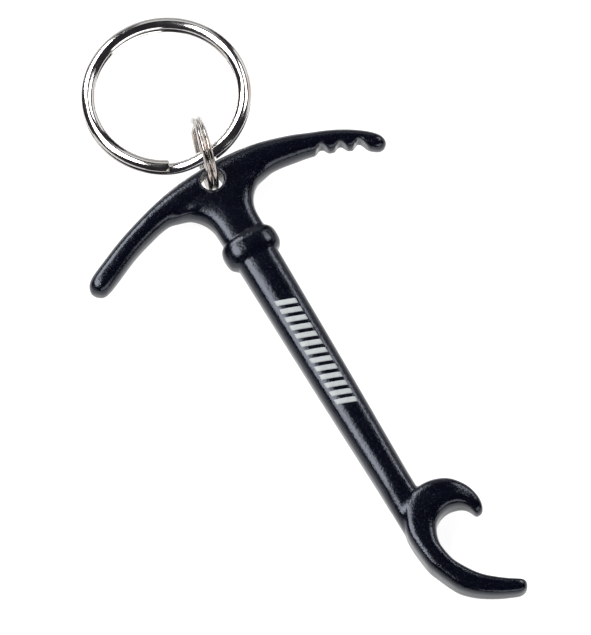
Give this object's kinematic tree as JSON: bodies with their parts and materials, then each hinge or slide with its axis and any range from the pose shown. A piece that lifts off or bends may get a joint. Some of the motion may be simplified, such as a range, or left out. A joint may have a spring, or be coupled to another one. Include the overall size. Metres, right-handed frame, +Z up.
{
  "type": "keychain bottle opener",
  "caption": "Pocket bottle opener cast as a small ice axe, with a cap hook at the foot of the shaft, a notched pick, and a large split ring hung on a small one through the head.",
  "frame": {"origin": "centre of the whole outline, on the surface that the opener lies on", "axes": "+Z up, square to the flat of the opener; +Y along the shaft towards the head and the rings; +X towards the notched arm"},
  "size_m": [0.056, 0.1213, 0.013],
  "materials": {
    "black_casting": "satin blue-black coating on cast aluminium",
    "ring_wire": "bright nickel plate on spring steel",
    "printed_mark": "light grey pad print"
  },
  "bodies": {
    "casting": {"axe_casting": "black_casting"},
    "small_ring": {"small_split_ring": "ring_wire"},
    "large_ring": {"large_split_ring": "ring_wire"}
  },
  "joints": [
    {"name": "small_ring_turn", "type": "hinge", "parent": "casting", "child": "small_ring", "pos_m": [0.00029, 0.03261, 0.0065], "axis": [0.9681, -0.2504, 0], "range_deg": [-9, 170]},
    {"name": "large_ring_swing", "type": "hinge", "parent": "small_ring", "child": "large_ring", "pos_m": [0.00068, 0.03327, 0.00296], "axis": [0, 0.061, 0.9981], "range_deg": [-18, 18]}
  ]
}
